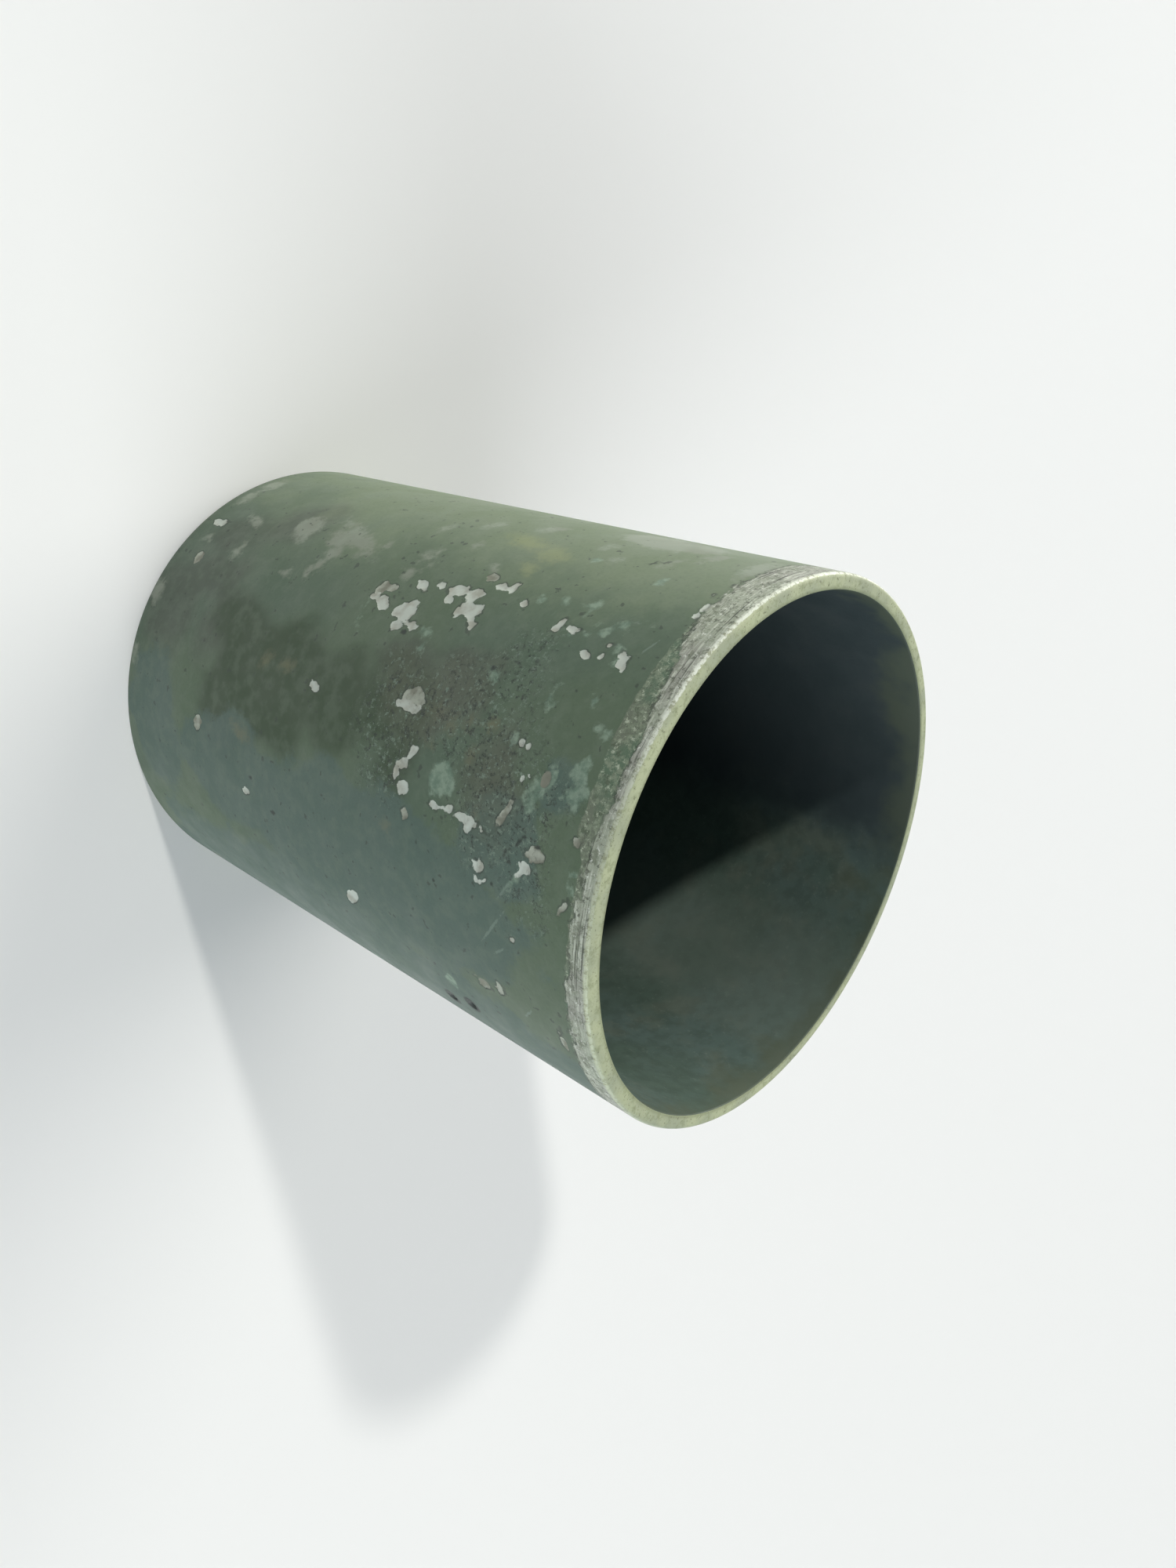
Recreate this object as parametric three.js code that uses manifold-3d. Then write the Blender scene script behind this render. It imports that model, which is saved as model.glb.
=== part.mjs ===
// A cylindrical candle mold for beeswax pillars. It stands on its foot rim with its mouth up.
// An aluminium tube forms the candle's side. A turned plug with a rubber ring closes the tube near its
// foot, and slides up the bore to push the set candle out. A short screw with a soft washer closes the
// wick hole from below. Units are millimetres, +Z is up, and the origin is the centre of the foot rim.

import * as THREE from "three";
import { mergeVertices } from "three/addons/utils/BufferGeometryUtils.js";
import Module from "manifold-3d";

const wasm = await Module();
wasm.setup();

// Driving dimensions of the tube.
const TUBE_RADIUS = 35;
const TUBE_WALL = 2;
const TUBE_LENGTH = 96;
const BORE_RADIUS = TUBE_RADIUS - TUBE_WALL;
const EDGE_BREAK = 0.3; // chamfer on the cut edges
const MOUTH_BEVEL = 0.7; // wider chamfer round the outside of the mouth

// Driving dimensions of the plug and its sealing ring.
const BASE_RECESS = 12; // the plug's underside is this far above the rim that the mold stands on
const PLUG_THICKNESS = 9;
const PLUG_CLEARANCE = 0.15; // radial, between plug and bore
const DISH_DEPTH = 2.5; // the plug's top is a shallow cone that shapes the candle's tip
const RING_HEIGHT = 3; // along the axis
const RING_THICKNESS = 2.1; // across the gap, as squeezed in place
const RING_GAP = 0.05; // left round the ring, so that no two solids touch

// Driving dimensions of the wick hole, its screw and its washer. The M5 threads are plain cylinders here.
const WICK_HOLE_RADIUS = 1.2;
const THREAD_RADIUS = 2.5;
const THREAD_DEPTH = 6;
const SHANK_RADIUS = 2.2;
const SHANK_LENGTH = 6.6; // below the head's bearing face, through the washer and into the plug
const SCREW_HEAD_RADIUS = 4.25;
const SCREW_HEAD_HEIGHT = 3.3;
const SLOT_WIDTH = 1.2;
const SLOT_DEPTH = 1.5;
const WASHER_RADIUS = 5;
const WASHER_THICKNESS = 1.2;
const SEAT_GAP = 0.05; // between plug and washer, and between washer and screw head

// Segments round the axis of the large pieces, the ring's section and the small pieces.
const LARGE_SEGMENTS = 96;
const SECTION_SEGMENTS = 12;
const SMALL_SEGMENTS = 48;

const colours = {
  green_paint: { color: 0x5f6f62, roughness: 0.45, metalness: 0.1 },
  turned_aluminium: { color: 0xb4b7b8, roughness: 0.4, metalness: 1 },
  black_rubber: { color: 0x1d1d1f, roughness: 0.85, metalness: 0 },
  brass: { color: 0xb59a4c, roughness: 0.35, metalness: 1 },
  red_rubber: { color: 0x7c3326, roughness: 0.8, metalness: 0 },
};

// A solid of revolution round +Z from a closed outline of [radius, height] corners, listed anticlockwise.
function turned(outline, segments) {
  const corners = outline.map(([radius, height]) => new THREE.Vector2(radius, height));
  corners.push(corners[0].clone());
  return new THREE.LatheGeometry(corners, segments).rotateX(Math.PI / 2);
}

function solid(geometry) {
  const bare = geometry.clone();
  bare.deleteAttribute("normal");
  bare.deleteAttribute("uv");
  const merged = mergeVertices(bare, 1e-4);
  return new wasm.Manifold(
    new wasm.Mesh({
      numProp: 3,
      vertProperties: merged.attributes.position.array,
      triVerts: new Uint32Array(merged.index.array),
    }),
  );
}

function geometryOf(manifold) {
  const mesh = manifold.getMesh();
  const geometry = new THREE.BufferGeometry();
  geometry.setAttribute("position", new THREE.BufferAttribute(mesh.vertProperties, mesh.numProp));
  geometry.setIndex(new THREE.BufferAttribute(mesh.triVerts, 1));
  return geometry;
}

const mold = new THREE.Group();

function addPiece(name, geometry, look, height = 0) {
  const mesh = new THREE.Mesh(geometry, new THREE.MeshStandardMaterial(look));
  mesh.name = name;
  mesh.position.z = height;
  mold.add(mesh);
}

// The tube: drawn aluminium, cut square at both ends, with its edges broken.
function moldTube() {
  return turned(
    [
      [BORE_RADIUS, EDGE_BREAK],
      [BORE_RADIUS + EDGE_BREAK, 0],
      [TUBE_RADIUS - EDGE_BREAK, 0],
      [TUBE_RADIUS, EDGE_BREAK],
      [TUBE_RADIUS, TUBE_LENGTH - MOUTH_BEVEL],
      [TUBE_RADIUS - MOUTH_BEVEL, TUBE_LENGTH],
      [BORE_RADIUS + EDGE_BREAK, TUBE_LENGTH],
      [BORE_RADIUS, TUBE_LENGTH - EDGE_BREAK],
    ],
    LARGE_SEGMENTS,
  );
}

// The plug: a turned disc with a dished top, a groove for the sealing ring, a wick hole and, below it,
// the wider threaded hole for the wick screw. Its own zero height is its underside.
const PLUG_RADIUS = BORE_RADIUS - PLUG_CLEARANCE;
const GROOVE_RADIUS = BORE_RADIUS - RING_THICKNESS - 2 * RING_GAP;
const GROOVE_MIDDLE = PLUG_THICKNESS / 2;
const GROOVE_HALF = RING_HEIGHT / 2 + RING_GAP;

function basePlug() {
  return turned(
    [
      [THREAD_RADIUS, 0],
      [PLUG_RADIUS - EDGE_BREAK, 0],
      [PLUG_RADIUS, EDGE_BREAK],
      [PLUG_RADIUS, GROOVE_MIDDLE - GROOVE_HALF],
      [GROOVE_RADIUS, GROOVE_MIDDLE - GROOVE_HALF],
      [GROOVE_RADIUS, GROOVE_MIDDLE + GROOVE_HALF],
      [PLUG_RADIUS, GROOVE_MIDDLE + GROOVE_HALF],
      [PLUG_RADIUS, PLUG_THICKNESS],
      [WICK_HOLE_RADIUS, PLUG_THICKNESS - DISH_DEPTH],
      [WICK_HOLE_RADIUS, THREAD_DEPTH],
      [THREAD_RADIUS, THREAD_DEPTH],
    ],
    LARGE_SEGMENTS,
  );
}

// The sealing ring: a round rubber section, squeezed between the groove and the bore.
function sealRing() {
  const middle = BORE_RADIUS - RING_GAP - RING_THICKNESS / 2;
  const section = Array.from({ length: SECTION_SEGMENTS }, (_, i) => {
    const turn = (i / SECTION_SEGMENTS) * 2 * Math.PI;
    return [middle + (RING_THICKNESS / 2) * Math.cos(turn), (RING_HEIGHT / 2) * Math.sin(turn)];
  });
  return turned(section, LARGE_SEGMENTS);
}

// The washer: a flat soft ring between the plug and the screw's head.
function wickWasher() {
  return turned(
    [
      [THREAD_RADIUS, 0],
      [WASHER_RADIUS, 0],
      [WASHER_RADIUS, WASHER_THICKNESS],
      [THREAD_RADIUS, WASHER_THICKNESS],
    ],
    SMALL_SEGMENTS,
  );
}

// The wick screw: a slotted cheese head, downwards, under a short shank. Its own zero height is the
// head's bearing face.
function wickScrew() {
  const body = turned(
    [
      [0, -SCREW_HEAD_HEIGHT],
      [SCREW_HEAD_RADIUS - EDGE_BREAK, -SCREW_HEAD_HEIGHT],
      [SCREW_HEAD_RADIUS, EDGE_BREAK - SCREW_HEAD_HEIGHT],
      [SCREW_HEAD_RADIUS, 0],
      [SHANK_RADIUS, 0],
      [SHANK_RADIUS, SHANK_LENGTH - EDGE_BREAK],
      [SHANK_RADIUS - EDGE_BREAK, SHANK_LENGTH],
      [0, SHANK_LENGTH],
    ],
    SMALL_SEGMENTS,
  );
  // The cutter overhangs the head below and at both sides, so that the slot is open there.
  const slot = new THREE.BoxGeometry(4 * SCREW_HEAD_RADIUS, SLOT_WIDTH, 2 * SLOT_DEPTH);
  slot.translate(0, 0, -SCREW_HEAD_HEIGHT);
  return geometryOf(solid(body).subtract(solid(slot)));
}

const WASHER_HEIGHT = BASE_RECESS - SEAT_GAP - WASHER_THICKNESS;
const SCREW_HEIGHT = WASHER_HEIGHT - SEAT_GAP;

addPiece("mold_tube", moldTube(), colours.green_paint);
addPiece("base_plug", basePlug(), colours.turned_aluminium, BASE_RECESS);
addPiece("plug_seal_ring", sealRing(), colours.black_rubber, BASE_RECESS + GROOVE_MIDDLE);
addPiece("wick_washer", wickWasher(), colours.red_rubber, WASHER_HEIGHT);
addPiece("wick_screw", wickScrew(), colours.brass, SCREW_HEIGHT);

export default mold;
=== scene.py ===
import math
import random

import bmesh
import bpy
import numpy as np
from mathutils import Matrix, Vector, noise


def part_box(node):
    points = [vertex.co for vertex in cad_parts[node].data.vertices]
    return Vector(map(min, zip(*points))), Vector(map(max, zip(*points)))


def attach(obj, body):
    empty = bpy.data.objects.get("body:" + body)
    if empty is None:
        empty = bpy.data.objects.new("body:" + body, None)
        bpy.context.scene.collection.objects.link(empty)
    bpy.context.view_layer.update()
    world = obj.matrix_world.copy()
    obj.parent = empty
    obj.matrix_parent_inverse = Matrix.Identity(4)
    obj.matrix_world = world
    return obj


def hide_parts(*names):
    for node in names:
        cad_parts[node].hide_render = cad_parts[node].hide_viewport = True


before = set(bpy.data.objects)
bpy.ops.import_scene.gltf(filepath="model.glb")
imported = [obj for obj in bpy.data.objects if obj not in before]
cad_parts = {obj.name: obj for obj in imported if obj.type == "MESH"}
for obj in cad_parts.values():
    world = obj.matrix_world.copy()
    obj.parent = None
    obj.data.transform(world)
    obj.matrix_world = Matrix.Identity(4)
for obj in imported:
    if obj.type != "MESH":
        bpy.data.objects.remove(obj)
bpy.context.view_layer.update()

scene = bpy.context.scene
scene.view_settings.view_transform = "Standard"

# ---------------------------------------------------------------------------------------------------
# The camera is held close to the open mouth, in front of the mold and above it, and turned on its
# side. Here and below, lengths are in metres unless a name ends in MM, and angles are in degrees.
CAMERA_AIM = Vector((0, 0, 0.0635))  # on the tube's axis
CAMERA_RANGE = 0.1535
CAMERA_ELEVATION = 38.08
CAMERA_ROLL = 111.75
LENS_MM = 25.29
NEAREST = 0.005

camera_data = bpy.data.cameras.new("camera")
camera_data.lens = LENS_MM
camera_data.clip_start = NEAREST
camera = bpy.data.objects.new("camera", camera_data)
scene.collection.objects.link(camera)
tilt = Matrix.Rotation(math.radians(90 - CAMERA_ELEVATION), 4, "X")
roll = Matrix.Rotation(math.radians(CAMERA_ROLL), 4, "Z")
back_off = Matrix.Translation((0, 0, CAMERA_RANGE))
camera.matrix_world = Matrix.Translation(CAMERA_AIM) @ tilt @ back_off @ roll
scene.camera = camera

# ---------------------------------------------------------------------------------------------------
# The tube is drawn aluminium, sawn square, with a bevelled mouth. It was primed, given a mint coat and
# then a grey-green one, and use has chipped the paint and worn a bare collar round the mouth.
_, tube_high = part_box("mold_tube")
TUBE_RADIUS = tube_high.x
TUBE_LENGTH = tube_high.z
TUBE_WALL = 0.002
MOUTH_ROUNDING = 0.0006
EDGE_ROUNDING = 0.00025
ROUNDING_POINTS = 5
TUBE_COLUMNS = 320
TUBE_ROW = 0.0007  # height of one row of faces outside
BORE_ROWS = 5  # outside rows for each row of faces in the bore
BORE_SIDE = -0.49  # of the wall's thickness: just outside its inner face, which is at -0.5
TOLERANCE = 1e-6


def new_tree(name, sizes):
    """A geometry tree with a named input for each size."""
    tree = bpy.data.node_groups.new(name, "GeometryNodeTree")
    tree.interface.new_socket("Geometry", in_out="OUTPUT", socket_type="NodeSocketGeometry")
    for label, kind in sizes.items():
        tree.interface.new_socket(label, in_out="INPUT", socket_type="NodeSocket" + kind)
    return tree


def add(tree, kind, inputs=None, **settings):
    """Adds a node. An input is a socket to link or a value to keep."""
    node = tree.nodes.new(kind)
    for setting, value in settings.items():
        setattr(node, setting, value)
    for label, value in (inputs or {}).items():
        if isinstance(value, bpy.types.NodeSocket):
            tree.links.new(value, node.inputs[label])
        else:
            node.inputs[label].default_value = value
    return node


def maths(tree, operation, *values):
    return add(tree, "ShaderNodeMath", dict(enumerate(values)), operation=operation).outputs[0]


def grow(name, tree, values):
    """Runs a geometry tree and keeps what it makes as a plain mesh."""
    piece = bpy.data.objects.new(name, bpy.data.meshes.new(name))
    scene.collection.objects.link(piece)
    modifier = piece.modifiers.new(name, "NODES")
    modifier.node_group = tree
    for item in tree.interface.items_tree:
        if item.in_out == "INPUT":
            modifier[item.identifier] = values[item.name]
    grown = piece.evaluated_get(bpy.context.evaluated_depsgraph_get())
    mesh = bpy.data.meshes.new_from_object(grown)
    piece.modifiers.remove(modifier)
    piece.data = mesh
    return piece


wall_tree = new_tree("tube_wall", {
    "Radius": "Float", "Wall": "Float", "Length": "Float", "Mouth Rounding": "Float",
    "Edge Rounding": "Float", "Row": "Float", "Bore Rows": "Float", "Columns": "Int",
    "Finish": "Material",
})
size = add(wall_tree, "NodeGroupInput").outputs
# The sweep turns the wall's section over: its mouth is at negative Y here.
section = add(wall_tree, "GeometryNodeCurvePrimitiveQuadrilateral",
              {"Width": size["Wall"], "Height": size["Length"]})
corner = add(wall_tree, "ShaderNodeSeparateXYZ",
             {"Vector": add(wall_tree, "GeometryNodeInputPosition").outputs[0]})
is_outside = maths(wall_tree, "GREATER_THAN", corner.outputs["X"], 0)
is_mouth = maths(wall_tree, "LESS_THAN", corner.outputs["Y"], 0)
extra = maths(wall_tree, "SUBTRACT", size["Mouth Rounding"], size["Edge Rounding"])
extra = maths(wall_tree, "MULTIPLY", extra, maths(wall_tree, "MULTIPLY", is_outside, is_mouth))
rounding = maths(wall_tree, "ADD", size["Edge Rounding"], extra)
rounded = add(wall_tree, "GeometryNodeFilletCurve",
              {"Curve": section.outputs[0], "Count": ROUNDING_POINTS, "Radius": rounding}, mode="POLY")
here = add(wall_tree, "GeometryNodeInputPosition")
following = add(wall_tree, "GeometryNodeOffsetPointInCurve", {"Offset": 1})
there = add(wall_tree, "GeometryNodeFieldAtIndex",
            {"Value": here.outputs[0], "Index": following.outputs["Point Index"]},
            data_type="FLOAT_VECTOR")
span = add(wall_tree, "ShaderNodeVectorMath",
           {0: here.outputs[0], 1: there.outputs[0]}, operation="DISTANCE")
across = add(wall_tree, "ShaderNodeSeparateXYZ", {"Vector": there.outputs[0]})
inward = maths(wall_tree, "MAXIMUM", corner.outputs["X"], across.outputs["X"])
in_bore = maths(wall_tree, "LESS_THAN", inward, maths(wall_tree, "MULTIPLY", size["Wall"], BORE_SIDE))
more_rows = maths(wall_tree, "SUBTRACT", size["Bore Rows"], 1)
coarser = maths(wall_tree, "MULTIPLY_ADD", in_bore, more_rows, 1)
row = maths(wall_tree, "MULTIPLY", size["Row"], coarser)
even = add(wall_tree, "GeometryNodeSubdivideCurve",
           {"Curve": rounded.outputs[0],
            "Cuts": maths(wall_tree, "DIVIDE", span.outputs["Value"], row)})
ring = add(wall_tree, "GeometryNodeCurvePrimitiveCircle",
           {"Resolution": size["Columns"],
            "Radius": maths(wall_tree, "MULTIPLY_ADD", size["Wall"], -0.5, size["Radius"])})
swept = add(wall_tree, "GeometryNodeCurveToMesh",
            {"Curve": ring.outputs[0], "Profile Curve": even.outputs[0]})
lift = add(wall_tree, "ShaderNodeCombineXYZ", {"Z": maths(wall_tree, "MULTIPLY", size["Length"], 0.5)})
raised = add(wall_tree, "GeometryNodeSetPosition",
             {"Geometry": swept.outputs[0], "Offset": lift.outputs[0]})
whole = add(wall_tree, "GeometryNodeRealizeInstances", {"Geometry": raised.outputs[0]})
finished = add(wall_tree, "GeometryNodeSetMaterial",
               {"Geometry": whole.outputs[0], "Material": size["Finish"]})
add(wall_tree, "NodeGroupOutput", {"Geometry": finished.outputs[0]})


# Helpers for the finishes. Patterns are laid out in millimetres of the piece's own coordinates.
def finish(name):
    """A new material: its tree, its Principled shader and its place on the piece in millimetres."""
    material = bpy.data.materials.new(name)
    material.use_nodes = True
    tree = material.node_tree
    own = add(tree, "ShaderNodeTexCoord").outputs["Object"]
    place = add(tree, "ShaderNodeVectorMath", {0: own, "Scale": 1000.0}, operation="SCALE").outputs[0]
    return material, tree, tree.nodes["Principled BSDF"], place


def grain(tree, place, spacing, detail=3, stretch=(1, 1, 1), shift=0.0, harsh=0.5):
    """Noise from 0 to 1 with features about spacing millimetres apart, longer where stretch is more."""
    scale = tuple(1 / (spacing * longer) for longer in stretch)
    moved = add(tree, "ShaderNodeVectorMath", {0: place, 1: scale, 2: (shift, shift, shift)},
                operation="MULTIPLY_ADD").outputs[0]
    return add(tree, "ShaderNodeTexNoise",
               {"Vector": moved, "Scale": 1.0, "Detail": detail, "Roughness": harsh}).outputs[0]


def fade(tree, value, start, end, low=0.0, high=1.0):
    """low where value is under start, high where it is over end, and smooth between."""
    return add(tree, "ShaderNodeMapRange",
               {"Value": value, "From Min": start, "From Max": end, "To Min": low, "To Max": high},
               interpolation_type="SMOOTHSTEP").outputs[0]


def coat(tree, amount, under, over):
    """Colour over laid on colour under by amount."""
    return add(tree, "ShaderNodeMix", {0: amount, 6: under, 7: over}, data_type="RGBA").outputs[2]


def laid(tree, under, over, value, start, end, most=1.0):
    """Lays colour over on colour under where value is past start, and from end on by most."""
    return coat(tree, fade(tree, value, start, end, 0.0, most), under, over)


def product(tree, first, *others):
    """Amounts multiplied together."""
    for other in others:
        first = maths(tree, "MULTIPLY", first, other)
    return first


def total(tree, value, *shares):
    """Value plus each share, which is given as a noise or an amount and what to multiply it by."""
    for noisy, factor in shares:
        value = maths(tree, "MULTIPLY_ADD", noisy, factor, value)
    return value


def from_axis(tree, place):
    """The distance from the axis, and a place made of it and the height, for rings round the axis."""
    level = add(tree, "ShaderNodeVectorMath", {0: place, 1: (1, 1, 0)}, operation="MULTIPLY").outputs[0]
    radius = add(tree, "ShaderNodeVectorMath", {0: level}, operation="LENGTH").outputs["Value"]
    height = add(tree, "ShaderNodeSeparateXYZ", {0: place}).outputs["Z"]
    return radius, add(tree, "ShaderNodeCombineXYZ", {"X": radius, "Z": height}).outputs[0]


def relief(tree, shader, height, depth_mm):
    """Bumps the surface by height times depth_mm."""
    bump = add(tree, "ShaderNodeBump", {"Height": height, "Distance": depth_mm / 1000, "Strength": 1.0})
    tree.links.new(bump.outputs[0], shader.inputs["Normal"])


def paint(red, green, blue):
    return red, green, blue, 1.0


# Where the paint is damaged or stained, and where sheen is painted on: bearing round the tube from the
# front, positive to the right, height above the foot in mm, width and height of the spot in mm, and how
# far its top leans right.
WHITE_CHIPS = [
    (-23.3, 63.0, 2.2, 3.0, 0), (-22.8, 61.8, 2.3, 1.7, 0), (-21.3, 64.1, 0.9, 2.6, 50),
    (-25.5, 62.0, 1.3, 0.7, 0), (-27.3, 61.8, 1.6, 2.3, 0), (-27.0, 59.1, 1.3, 3.2, -15),
    (-23.9, 58.8, 0.8, 1.3, 25), (-26.9, 55.3, 0.8, 1.5, 20), (-25.9, 52.6, 1.3, 2.4, 30),
    (-18.8, 54.0, 3.0, 2.4, 0), (-20.7, 54.2, 1.4, 1.7, 0), (-18.8, 52.5, 2.1, 1.6, 0),
    (-16.5, 56.1, 1.4, 2.2, 20), (-15.2, 53.5, 1.3, 2.1, 0), (-31.0, 66.0, 1.4, 1.1, 0),
    (-30.3, 64.6, 1.1, 1.8, 0), (-27.7, 69.3, 0.8, 1.1, 25), (-24.4, 76.2, 1.1, 1.1, 0),
    (-25.6, 76.4, 1.4, 0.7, 0), (-25.3, 78.3, 0.8, 1.6, 0), (-21.5, 87.2, 0.7, 1.2, 60),
    (-23.0, 86.9, 0.9, 1.3, 20), (-24.2, 84.4, 0.7, 0.7, 0), (-21.3, 84.4, 0.6, 0.5, 0),
    (-21.1, 82.2, 0.4, 0.7, 20), (-19.3, 48.7, 1.7, 2.6, 20), (-20.1, 46.9, 0.9, 1.5, 0),
    (-35.6, 90.9, 0.8, 0.6, 0), (-38.5, 90.7, 0.5, 2.4, 80),
    (6.4, 65.8, 1.0, 1.7, -60), (9.4, 64.4, 1.2, 1.6, 0), (11.3, 63.7, 1.9, 0.9, 0),
    (13.6, 65.3, 1.6, 2.2, 0), (13.9, 75.6, 0.9, 4.2, 4), (14.1, 77.2, 1.1, 1.1, 0),
    (15.5, 76.9, 0.8, 1.0, 0), (13.4, 73.7, 1.1, 1.2, 0), (21.2, 79.1, 1.5, 1.6, 0),
    (23.1, 79.1, 1.0, 0.5, 0), (23.2, 80.2, 0.5, 1.4, -35), (17.4, 86.0, 1.1, 1.7, 0),
    (18.2, 85.6, 0.6, 1.5, -45), (31.7, 85.0, 0.5, 0.5, 0), (2.3, 44.5, 0.9, 2.2, 10),
    (30.7, 33.0, 1.1, 1.1, 0), (-1.1, 62.5, 0.9, 3.0, 0), (43.5, 55.0, 2.6, 1.8, 40),
    (-2.5, 80.7, 1.2, 0.8, 0), (-2.3, 81.7, 0.6, 0.5, 0), (2.3, 83.2, 0.5, 0.5, 0),
    (3.2, 82.6, 0.8, 0.7, 0), (-27.5, 4.0, 1.3, 3.4, 0), (14.1, 70.9, 0.5, 0.8, 0),
]
BARE_CHIPS = [
    (-3.3, 62.5, 2.2, 3.4, 0), (-23.0, 48.0, 1.0, 1.7, 0), (-22.2, 46.8, 2.6, 1.5, 0),
    (-32.1, 61.8, 1.4, 1.3, 0), (10.5, 81.6, 0.8, 2.6, -65), (14.6, 86.7, 1.6, 2.4, 0),
    (45.0, 82.0, 2.0, 1.4, 0), (9.6, 92.1, 1.3, 1.3, 0), (8.2, 92.3, 0.9, 0.5, 0),
    (20.9, 91.9, 0.6, 1.3, -50), (20.5, 20.7, 1.9, 1.9, 0), (-16.0, 6.5, 1.6, 1.6, 0),
    (50.0, 91.0, 2.4, 1.0, 0), (18.0, 66.5, 1.2, 1.2, 0), (46.5, 79.0, 1.4, 2.2, 20),
    (2.0, 85.6, 1.4, 1.0, 0), (23.6, 94.0, 0.5, 1.2, 0),
]
MINT_PATCHES = [
    (-23.8, 86.0, 1.0, 2.0, 10), (-21.4, 86.6, 1.0, 0.9, 0), (-29.3, 84.4, 1.7, 1.5, 0),
    (-27.3, 84.7, 0.8, 0.6, 0), (-28.0, 82.9, 1.6, 0.8, 0), (-26.3, 82.2, 1.6, 1.7, 0),
    (-28.0, 81.4, 1.0, 0.8, 0), (-27.5, 80.6, 1.1, 0.8, 0), (-25.2, 80.5, 0.6, 0.9, 0),
    (-31.5, 86.6, 0.7, 1.2, 50), (-29.8, 78.2, 0.9, 1.8, 45), (-31.5, 78.4, 1.8, 0.7, 0),
    (-23.5, 77.9, 0.9, 0.8, 0), (-23.9, 78.5, 1.2, 0.6, 0), (-31.0, 74.6, 0.9, 1.6, 45),
    (-29.0, 75.7, 0.7, 1.7, 60), (-27.8, 74.8, 0.8, 0.8, 0), (-30.3, 71.2, 0.8, 1.5, 35),
    (-44.8, 71.3, 1.4, 1.4, 0), (-13.2, 86.9, 1.4, 1.0, 0), (-14.7, 86.4, 0.6, 0.9, 50),
    (-11.8, 81.6, 2.0, 1.1, 0), (-10.3, 82.3, 1.2, 1.1, 0), (-12.2, 72.4, 1.6, 2.0, 0),
    (9.1, 71.3, 4.2, 4.6, 0), (-16.0, 59.1, 1.4, 2.6, -20), (-12.4, 59.4, 0.9, 2.4, 20),
    (-2.3, 79.7, 1.3, 0.9, 0), (-1.0, 89.5, 3.6, 2.6, 0), (2.5, 90.0, 3.0, 3.0, 0),
    (-8.8, 90.6, 1.2, 2.0, 0), (-9.2, 88.8, 0.8, 0.9, 0), (-17.5, 46.3, 2.2, 0.9, 0),
    (-14.5, 46.9, 2.0, 0.8, 0), (-12.4, 47.3, 1.2, 1.3, 0), (53.0, 72.0, 2.6, 2.0, 0),
    (-42.5, 83.0, 2.0, 1.2, 20), (5.0, 85.0, 4.4, 2.4, 20), (1.5, 86.5, 2.6, 1.6, 0),
    (14.2, 92.0, 0.6, 1.8, 20), (17.4, 92.9, 0.7, 1.1, 20), (19.8, 84.9, 0.5, 2.0, -50),
    (1.1, 62.5, 1.3, 1.2, 0), (-5.6, 61.5, 0.9, 1.0, 0),
]
OCHRE_STAINS = [
    (-43.5, 65.5, 3.4, 5.5, 20), (-37.5, 65.0, 2.0, 3.0, 40), (-46.0, 60.0, 3.0, 8.0, 10),
    (-3.3, 75.8, 1.6, 1.5, 0), (-2.5, 72.4, 1.4, 1.3, 0), (-2.0, 67.2, 1.3, 2.0, 0),
    (22.2, 63.3, 1.3, 1.3, 0), (17.7, 31.5, 1.4, 3.2, 20), (0.5, 33.5, 2.0, 1.4, 30),
    (0.0, 38.0, 1.4, 2.2, 0), (3.0, 74.5, 1.2, 1.0, 0), (-0.5, 70.0, 1.6, 1.2, 0),
    (4.2, 67.9, 0.6, 0.8, 0), (12.0, 77.5, 1.5, 0.8, 0), (-9.0, 92.4, 0.9, 1.0, 0),
]
PALE_SMEARS = [
    (-57.0, 83.5, 5.0, 2.5, 20), (-50.0, 80.3, 3.0, 2.0, 20), (-27.5, 48.6, 2.2, 2.4, 0),
    (-28.6, 49.8, 0.8, 1.4, -20), (-34.0, 49.0, 3.4, 2.0, 20), (-31.3, 50.8, 1.2, 1.6, 0),
    (-34.0, 34.0, 3.2, 12.0, 25), (-31.5, 31.2, 3.4, 6.0, 20), (-27.5, 32.8, 4.2, 3.0, 0),
    (-24.0, 32.4, 2.8, 2.0, -40), (-21.5, 31.4, 2.4, 1.6, 0), (-29.0, 37.8, 1.2, 2.8, 20),
    (-31.5, 38.0, 1.4, 3.4, 25), (-33.3, 40.3, 1.7, 1.4, 45), (-33.0, 23.0, 5.0, 5.2, 0),
    (-29.3, 23.7, 1.2, 3.4, 20), (-19.0, 27.5, 1.4, 2.0, 0), (-22.0, 4.7, 1.4, 2.6, 0),
    (-46.0, 3.0, 5.0, 3.0, 0), (-5.0, 1.5, 4.0, 3.0, 0), (11.5, 1.0, 3.0, 2.0, 0),
    (-21.0, 14.0, 3.0, 2.0, 0), (-56.0, 90.0, 8.0, 3.0, 0), (-62.0, 75.0, 8.0, 16.0, 0),
    (-38.0, 3.0, 4.0, 2.5, 0), (-34.5, 61.0, 0.8, 2.0, 30), (-31.0, 11.0, 1.6, 4.0, 20),
    (-52.0, 70.5, 3.0, 2.0, 30), (-47.0, 74.0, 2.0, 1.2, 20), (-55.0, 59.0, 4.0, 3.0, 30),
    (-50.0, 51.0, 3.0, 2.0, 30), (-44.0, 45.5, 2.4, 2.0, 20), (-40.5, 54.0, 1.6, 2.2, 30),
]
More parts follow.
